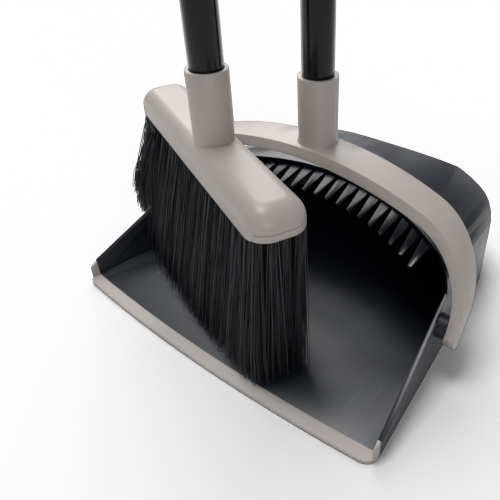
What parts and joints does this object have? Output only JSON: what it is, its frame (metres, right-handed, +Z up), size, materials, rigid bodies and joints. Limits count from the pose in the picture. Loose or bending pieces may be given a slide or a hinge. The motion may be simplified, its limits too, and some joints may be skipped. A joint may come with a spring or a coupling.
{
  "type": "upright dustpan and broom set",
  "caption": "Upright lobby dustpan with a hooded pan, comb teeth and a folding yoke handle, with a matching long-handled broom and a pole clip.",
  "frame": {"origin": "on the floor plane of the pan's underside, directly under the axis of the pan's handle", "axes": "+Z up along both poles; -Y forward to the pan's lip; +X to the right as seen from behind the lip"},
  "size_m": [0.3386, 0.285, 1.214],
  "materials": {
    "pan_plastic": "satin moulded plastic",
    "lip_rubber": "matt soft strip",
    "taupe_plastic": "fine-grained moulded plastic",
    "tube_paint": "glossy powder coat on steel tube",
    "joint_plastic": "satin",
    "grip_plastic": "soft matt grip",
    "loop_plastic": "satin",
    "clip_plastic": "satin",
    "bristle": "fine synthetic bristles"
  },
  "bodies": {
    "handle": {"yoke": "taupe_plastic", "pan_tip": "joint_plastic", "pan_lower_tube": "tube_paint", "pan_lower_cup": "joint_plastic", "pan_lower_screw": "joint_plastic", "pan_middle_tube": "tube_paint", "pan_upper_cup": "joint_plastic", "pan_upper_screw": "joint_plastic", "pan_upper_tube": "tube_paint", "pan_grip": "grip_plastic", "pan_loop": "loop_plastic"},
    "pan": {"pan_shell": "pan_plastic", "pan_lip": "lip_rubber", "comb": "pan_plastic"},
    "clip": {"clip": "clip_plastic"},
    "broom": {"head_cover": "taupe_plastic", "head_base": "taupe_plastic", "bristles": "bristle", "broom_tip": "joint_plastic", "broom_lower_tube": "tube_paint", "broom_lower_cup": "joint_plastic", "broom_lower_screw": "joint_plastic", "broom_middle_tube": "tube_paint", "broom_upper_cup": "joint_plastic", "broom_upper_screw": "joint_plastic", "broom_upper_tube": "tube_paint", "broom_grip": "grip_plastic", "broom_loop": "loop_plastic"}
  },
  "joints": [
    {"name": "pan_fold", "type": "hinge", "parent": "handle", "child": "pan", "pos_m": [0, -0.042, 0.042], "axis": [-1, 0, 0], "range_deg": [0, 88]},
    {"name": "broom_lift", "type": "slide", "parent": "handle", "child": "broom", "axis": [0, 0, 1], "range_m": [0, 0.3]},
    {"name": "clip_turn", "type": "hinge", "parent": "handle", "child": "clip", "pos_m": [0, 0, 0.965], "axis": [0, 0, 1], "continuous": true}
  ],
  "couplings": [
    {"joint": "broom_lift", "follows": "pan_fold", "m_per_rad": 0.195}
  ]
}
